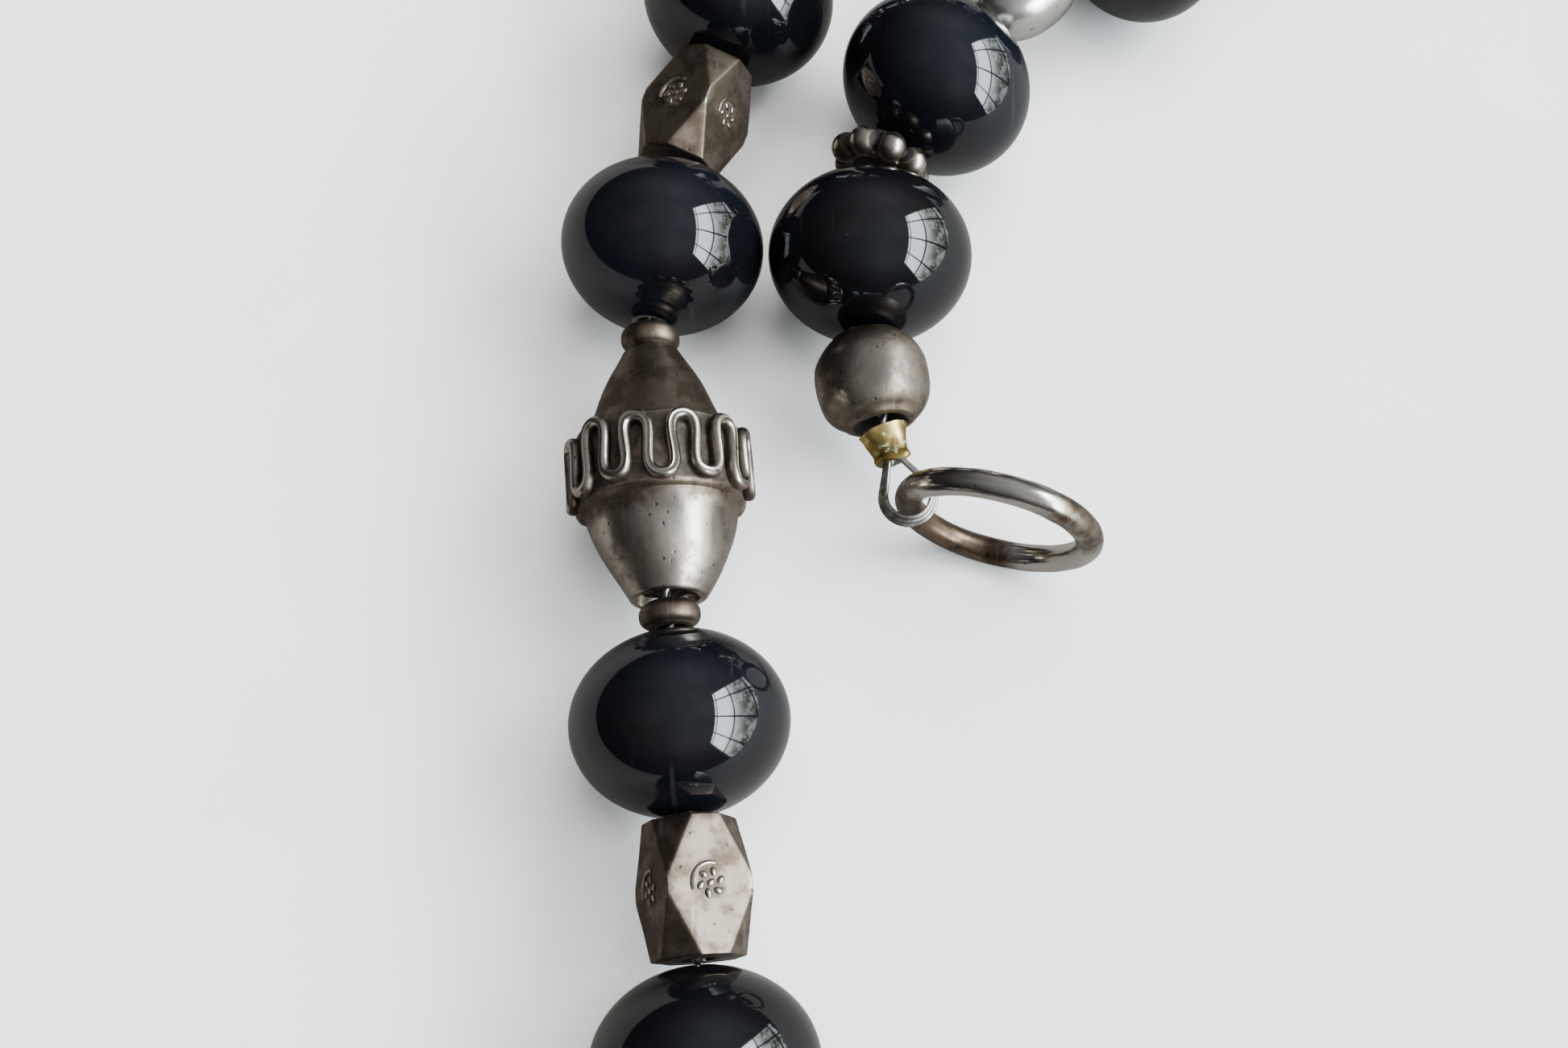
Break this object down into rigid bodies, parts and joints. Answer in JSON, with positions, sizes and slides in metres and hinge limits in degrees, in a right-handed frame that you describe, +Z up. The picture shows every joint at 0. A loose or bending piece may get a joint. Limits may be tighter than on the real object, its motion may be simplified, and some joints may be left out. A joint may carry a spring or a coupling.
{
  "type": "misbaha prayer beads",
  "caption": "String of glossy black round beads and aged silver beads on twisted wire, with a ring-and-bar clasp, for counting prayers.",
  "frame": {"origin": "under the middle of the bounding box, on the surface the string lies on", "axes": "+Z up, +Y along the laid string's length towards the closed end of its loop, +X towards the ring end's side"},
  "size_m": [0.0774, 0.2138, 0.014],
  "materials": {
    "black_stone": "polished",
    "aged_silver": "tarnished",
    "bright_silver": "worn bright",
    "clasp_silver": "satin",
    "crimp_brass": "worn",
    "string_wire": "satin"
  },
  "bodies": {
    "span_01": {"wire_span_01": "string_wire", "crimp_ring_end": "crimp_brass"},
    "span_02": {"wire_span_02": "string_wire"},
    "span_03": {"wire_span_03": "string_wire"},
    "span_04": {"wire_span_04": "string_wire"},
    "span_05": {"wire_span_05": "string_wire"},
    "span_06": {"wire_span_06": "string_wire"},
    "span_07": {"wire_span_07": "string_wire"},
    "span_08": {"wire_span_08": "string_wire"},
    "span_09": {"wire_span_09": "string_wire"},
    "span_10": {"wire_span_10": "string_wire"},
    "span_11": {"wire_span_11": "string_wire"},
    "span_12": {"wire_span_12": "string_wire"},
    "span_13": {"wire_span_13": "string_wire"},
    "span_14": {"wire_span_14": "string_wire"},
    "span_15": {"wire_span_15": "string_wire"},
    "span_16": {"wire_span_16": "string_wire", "crimp_bar_end": "crimp_brass"},
    "clasp_ring": {"clasp_ring": "clasp_silver"},
    "toggle_bar": {"toggle_bar": "clasp_silver"},
    "barrel_ring_end": {"barrel_ring_end": "aged_silver"},
    "black_bead_01": {"black_bead_01": "black_stone"},
    "silver_daisy_1": {"silver_daisy_1": "aged_silver"},
    "black_bead_02": {"black_bead_02": "black_stone"},
    "silver_oval_1": {"silver_oval_1": "bright_silver"},
    "black_bead_03": {"black_bead_03": "black_stone"},
    "silver_faceted_1": {"silver_faceted_1": "aged_silver"},
    "black_bead_04": {"black_bead_04": "black_stone"},
    "rondelle_1": {"rondelle_1": "aged_silver"},
    "silver_bicone_1": {"silver_bicone_1": "aged_silver"},
    "rondelle_2": {"rondelle_2": "aged_silver"},
    "black_bead_05": {"black_bead_05": "black_stone"},
    "silver_faceted_2": {"silver_faceted_2": "aged_silver"},
    "black_bead_06": {"black_bead_06": "black_stone"},
    "silver_daisy_2": {"silver_daisy_2": "aged_silver"},
    "black_bead_07": {"black_bead_07": "black_stone"},
    "silver_oval_2": {"silver_oval_2": "bright_silver"},
    "black_bead_08": {"black_bead_08": "black_stone"},
    "rondelle_3": {"rondelle_3": "aged_silver"},
    "silver_bicone_2": {"silver_bicone_2": "aged_silver"},
    "rondelle_4": {"rondelle_4": "aged_silver"},
    "black_bead_09": {"black_bead_09": "black_stone"},
    "silver_oval_3": {"silver_oval_3": "bright_silver"},
    "black_bead_10": {"black_bead_10": "black_stone"},
    "silver_daisy_3": {"silver_daisy_3": "aged_silver"},
    "black_bead_11": {"black_bead_11": "black_stone"},
    "silver_faceted_3": {"silver_faceted_3": "aged_silver"},
    "black_bead_12": {"black_bead_12": "black_stone"},
    "rondelle_5": {"rondelle_5": "aged_silver"},
    "silver_bicone_3": {"silver_bicone_3": "aged_silver"},
    "rondelle_6": {"rondelle_6": "aged_silver"},
    "black_bead_13": {"black_bead_13": "black_stone"},
    "silver_faceted_4": {"silver_faceted_4": "aged_silver"},
    "black_bead_14": {"black_bead_14": "black_stone"},
    "silver_oval_4": {"silver_oval_4": "bright_silver"},
    "black_bead_15": {"black_bead_15": "black_stone"},
    "silver_daisy_4": {"silver_daisy_4": "aged_silver"},
    "black_bead_16": {"black_bead_16": "black_stone"},
    "barrel_bar_end": {"barrel_bar_end": "aged_silver"}
  },
  "joints": [
    {"name": "clasp_ring_swing", "type": "hinge", "parent": "span_01", "child": "clasp_ring", "pos_m": [-0.0093, -0.01215, 0.007], "axis": [0, 0, 1], "range_deg": [-85, 70]},
    {"name": "toggle_bar_swing", "type": "hinge", "parent": "span_16", "child": "toggle_bar", "pos_m": [-0.02701, -0.09972, 0.00202], "axis": [-0.9669, 0.255, 0], "range_deg": [-55, 40]},
    {"name": "flex_01", "type": "hinge", "parent": "span_02", "child": "span_01", "pos_m": [-0.01023, 0.01412, 0.007], "axis": [-0.8892, 0.4575, 0], "range_deg": [0, 10]},
    {"name": "flex_02", "type": "hinge", "parent": "span_03", "child": "span_02", "pos_m": [0.00353, 0.02954, 0.007], "axis": [0, 0, 1], "range_deg": [0, 10]},
    {"name": "flex_03", "type": "hinge", "parent": "span_04", "child": "span_03", "pos_m": [0.02136, 0.04081, 0.007], "axis": [-0.6981, 0.716, 0], "range_deg": [0, 10]},
    {"name": "flex_04", "type": "hinge", "parent": "span_05", "child": "span_04", "pos_m": [0.03313, 0.07205, 0.007], "axis": [0, 0, 1], "range_deg": [0, 10]},
    {"name": "flex_05", "type": "hinge", "parent": "span_06", "child": "span_05", "pos_m": [0.02526, 0.09184, 0.007], "axis": [-0.7281, -0.6855, 0], "range_deg": [0, 10]},
    {"name": "flex_06", "type": "hinge", "parent": "span_07", "child": "span_06", "pos_m": [0.01255, 0.10024, 0.007], "axis": [0, 0, 1], "range_deg": [0, 10]},
    {"name": "flex_07", "type": "hinge", "parent": "span_08", "child": "span_07", "pos_m": [-0.00776, 0.09616, 0.007], "axis": [0.5503, -0.835, 0], "range_deg": [0, 10]},
    {"name": "flex_08", "type": "hinge", "parent": "span_08", "child": "span_09", "pos_m": [-0.02455, 0.06736, 0.007], "axis": [0, 0, -1], "range_deg": [0, 10]},
    {"name": "flex_09", "type": "hinge", "parent": "span_09", "child": "span_10", "pos_m": [-0.02182, 0.04709, 0.007], "axis": [-0.9714, -0.2373, 0], "range_deg": [0, 10]},
    {"name": "flex_10", "type": "hinge", "parent": "span_10", "child": "span_11", "pos_m": [-0.01907, 0.03253, 0.007], "axis": [0, 0, -1], "range_deg": [0, 7]},
    {"name": "flex_11", "type": "hinge", "parent": "span_11", "child": "span_12", "pos_m": [-0.02511, 0.01228, 0.007], "axis": [-0.9771, 0.2126, 0], "range_deg": [0, 10]},
    {"name": "flex_12", "type": "hinge", "parent": "span_12", "child": "span_13", "pos_m": [-0.02466, -0.02123, 0.007], "axis": [0, 0, -1], "range_deg": [0, 10]},
    {"name": "flex_13", "type": "hinge", "parent": "span_13", "child": "span_14", "pos_m": [-0.02256, -0.04192, 0.007], "axis": [-0.9966, -0.0824, 0], "range_deg": [0, 10]},
    {"name": "flex_14", "type": "hinge", "parent": "span_14", "child": "span_15", "pos_m": [-0.02149, -0.06234, 0.007], "axis": [0, 0, -1], "range_deg": [0, 10]},
    {"name": "flex_15", "type": "hinge", "parent": "span_15", "child": "span_16", "pos_m": [-0.02232, -0.07688, 0.007], "axis": [-0.9908, 0.1353, 0], "range_deg": [0, 10]},
    {"name": "barrel_ring_end_spin", "type": "hinge", "parent": "span_01", "child": "barrel_ring_end", "pos_m": [-0.01149, -0.0039, 0.007], "axis": [-0.1525, 0.9883, 0], "continuous": true},
    {"name": "black_bead_01_spin", "type": "hinge", "parent": "span_01", "child": "black_bead_01", "pos_m": [-0.01155, 0.00549, 0.007], "axis": [0.0737, 0.9973, 0], "continuous": true},
    {"name": "silver_daisy_1_spin", "type": "hinge", "parent": "span_01", "child": "silver_daisy_1", "pos_m": [-0.01068, 0.01282, 0.007], "axis": [0.3293, 0.9442, 0], "continuous": true},
    {"name": "black_bead_02_spin", "type": "hinge", "parent": "span_02", "child": "black_bead_02", "pos_m": [-0.00664, 0.0192, 0.007], "axis": [0.5768, 0.8169, 0], "continuous": true},
    {"name": "silver_oval_1_spin", "type": "hinge", "parent": "span_02", "child": "silver_oval_1", "pos_m": [0.0002, 0.02686, 0.007], "axis": [0.7796, 0.6263, 0], "continuous": true},
    {"name": "black_bead_03_spin", "type": "hinge", "parent": "span_03", "child": "black_bead_03", "pos_m": [0.00889, 0.0326, 0.007], "axis": [0.868, 0.4966, 0], "continuous": true},
    {"name": "silver_faceted_1_spin", "type": "hinge", "parent": "span_03", "child": "silver_faceted_1", "pos_m": [0.01767, 0.03815, 0.007], "axis": [0.8113, 0.5846, 0], "continuous": true},
    {"name": "black_bead_04_spin", "type": "hinge", "parent": "span_04", "child": "black_bead_04", "pos_m": [0.02515, 0.04579, 0.007], "axis": [0.605, 0.7963, 0], "continuous": true},
    {"name": "rondelle_1_spin", "type": "hinge", "parent": "span_04", "child": "rondelle_1", "pos_m": [0.02921, 0.05182, 0.007], "axis": [0.2794, 0.9602, 0], "continuous": true},
    {"name": "silver_bicone_1_spin", "type": "hinge", "parent": "span_04", "child": "silver_bicone_1", "pos_m": [0.0312, 0.06136, 0.007], "axis": [0.1947, 0.9809, 0], "continuous": true},
    {"name": "rondelle_2_spin", "type": "hinge", "parent": "span_04", "child": "rondelle_2", "pos_m": [0.03301, 0.07094, 0.007], "axis": [0.1084, 0.9941, 0], "continuous": true},
    {"name": "black_bead_05_spin", "type": "hinge", "parent": "span_05", "child": "black_bead_05", "pos_m": [0.03177, 0.07806, 0.007], "axis": [-0.2211, 0.9752, 0], "continuous": true},
    {"name": "silver_faceted_2_spin", "type": "hinge", "parent": "span_05", "child": "silver_faceted_2", "pos_m": [0.02782, 0.08801, 0.007], "axis": [-0.5559, 0.8312, 0], "continuous": true},
    {"name": "black_bead_06_spin", "type": "hinge", "parent": "span_06", "child": "black_bead_06", "pos_m": [0.02025, 0.09565, 0.007], "axis": [-0.7963, 0.605, 0], "continuous": true},
    {"name": "silver_daisy_2_spin", "type": "hinge", "parent": "span_06", "child": "silver_daisy_2", "pos_m": [0.01387, 0.09985, 0.007], "axis": [-0.9602, 0.2794, 0], "continuous": true},
    {"name": "black_bead_07_spin", "type": "hinge", "parent": "span_07", "child": "black_bead_07", "pos_m": [0.00633, 0.09993, 0.007], "axis": [-0.9988, -0.0484, 0], "continuous": true},
    {"name": "silver_oval_2_spin", "type": "hinge", "parent": "span_07", "child": "silver_oval_2", "pos_m": [-0.00381, 0.0979, 0.007], "axis": [-0.9151, -0.4031, 0], "continuous": true},
    {"name": "black_bead_08_spin", "type": "hinge", "parent": "span_08", "child": "black_bead_08", "pos_m": [-0.0123, 0.09192, 0.007], "axis": [-0.7314, -0.682, 0], "continuous": true},
    {"name": "rondelle_3_spin", "type": "hinge", "parent": "span_08", "child": "rondelle_3", "pos_m": [-0.01733, 0.08666, 0.007], "axis": [-0.4348, -0.9005, 0], "continuous": true},
    {"name": "silver_bicone_2_spin", "type": "hinge", "parent": "span_08", "child": "silver_bicone_2", "pos_m": [-0.02087, 0.07758, 0.007], "axis": [-0.3547, -0.935, 0], "continuous": true},
    {"name": "rondelle_4_spin", "type": "hinge", "parent": "span_08", "child": "rondelle_4", "pos_m": [-0.02425, 0.06844, 0.007], "axis": [-0.2718, -0.9623, 0], "continuous": true},
    {"name": "black_bead_09_spin", "type": "hinge", "parent": "span_09", "child": "black_bead_09", "pos_m": [-0.0242, 0.06121, 0.007], "axis": [0.0563, -0.9984, 0], "continuous": true},
    {"name": "silver_oval_3_spin", "type": "hinge", "parent": "span_09", "child": "silver_oval_3", "pos_m": [-0.02284, 0.05112, 0.007], "axis": [0.2457, -0.9693, 0], "continuous": true},
    {"name": "black_bead_10_spin", "type": "hinge", "parent": "span_10", "child": "black_bead_10", "pos_m": [-0.02044, 0.04121, 0.007], "axis": [0.2288, -0.9735, 0], "continuous": true},
    {"name": "silver_daisy_3_spin", "type": "hinge", "parent": "span_10", "child": "silver_daisy_3", "pos_m": [-0.01905, 0.03399, 0.007], "axis": [-0.0135, -0.9999, 0], "continuous": true},
    {"name": "black_bead_11_spin", "type": "hinge", "parent": "span_11", "child": "black_bead_11", "pos_m": [-0.02079, 0.02647, 0.007], "axis": [-0.2718, -0.9623, 0], "continuous": true},
    {"name": "silver_faceted_3_spin", "type": "hinge", "parent": "span_11", "child": "silver_faceted_3", "pos_m": [-0.02376, 0.0165, 0.007], "axis": [-0.3053, -0.9523, 0], "continuous": true},
    {"name": "black_bead_12_spin", "type": "hinge", "parent": "span_12", "child": "black_bead_12", "pos_m": [-0.02584, 0.00619, 0.007], "axis": [-0.118, -0.993, 0], "continuous": true},
    {"name": "rondelle_5_spin", "type": "hinge", "parent": "span_12", "child": "rondelle_5", "pos_m": [-0.02651, -0.00081, 0.007], "axis": [0.0388, -0.9992, 0], "continuous": true},
    {"name": "silver_bicone_3_spin", "type": "hinge", "parent": "span_12", "child": "silver_bicone_3", "pos_m": [-0.02568, -0.01053, 0.007], "axis": [0.0911, -0.9958, 0], "continuous": true},
    {"name": "rondelle_6_spin", "type": "hinge", "parent": "span_12", "child": "rondelle_6", "pos_m": [-0.02477, -0.02023, 0.007], "axis": [0.1084, -0.9941, 0], "continuous": true},
    {"name": "black_bead_13_spin", "type": "hinge", "parent": "span_13", "child": "black_bead_13", "pos_m": [-0.02401, -0.02724, 0.007], "axis": [0.1084, -0.9941, 0], "continuous": true},
    {"name": "silver_faceted_4_spin", "type": "hinge", "parent": "span_13", "child": "silver_faceted_4", "pos_m": [-0.02295, -0.03759, 0.007], "axis": [0.0911, -0.9958, 0], "continuous": true},
    {"name": "black_bead_14_spin", "type": "hinge", "parent": "span_14", "child": "black_bead_14", "pos_m": [-0.02211, -0.04795, 0.007], "axis": [0.0737, -0.9973, 0], "continuous": true},
    {"name": "silver_oval_4_spin", "type": "hinge", "parent": "span_14", "child": "silver_oval_4", "pos_m": [-0.02158, -0.05814, 0.007], "axis": [0.0214, -0.9998, 0], "continuous": true},
    {"name": "black_bead_15_spin", "type": "hinge", "parent": "span_15", "child": "black_bead_15", "pos_m": [-0.02178, -0.06844, 0.007], "axis": [-0.0484, -0.9988, 0], "continuous": true},
    {"name": "silver_daisy_4_spin", "type": "hinge", "parent": "span_15", "child": "silver_daisy_4", "pos_m": [-0.0222, -0.07567, 0.007], "axis": [-0.1006, -0.9949, 0], "continuous": true},
    {"name": "black_bead_16_spin", "type": "hinge", "parent": "span_16", "child": "black_bead_16", "pos_m": [-0.02335, -0.08285, 0.007], "axis": [-0.1698, -0.9855, 0], "continuous": true},
    {"name": "barrel_bar_end_spin", "type": "hinge", "parent": "span_16", "child": "barrel_bar_end", "pos_m": [-0.02509, -0.09199, 0.00643], "axis": [-0.2178, -0.9604, -0.1736], "continuous": true}
  ]
}
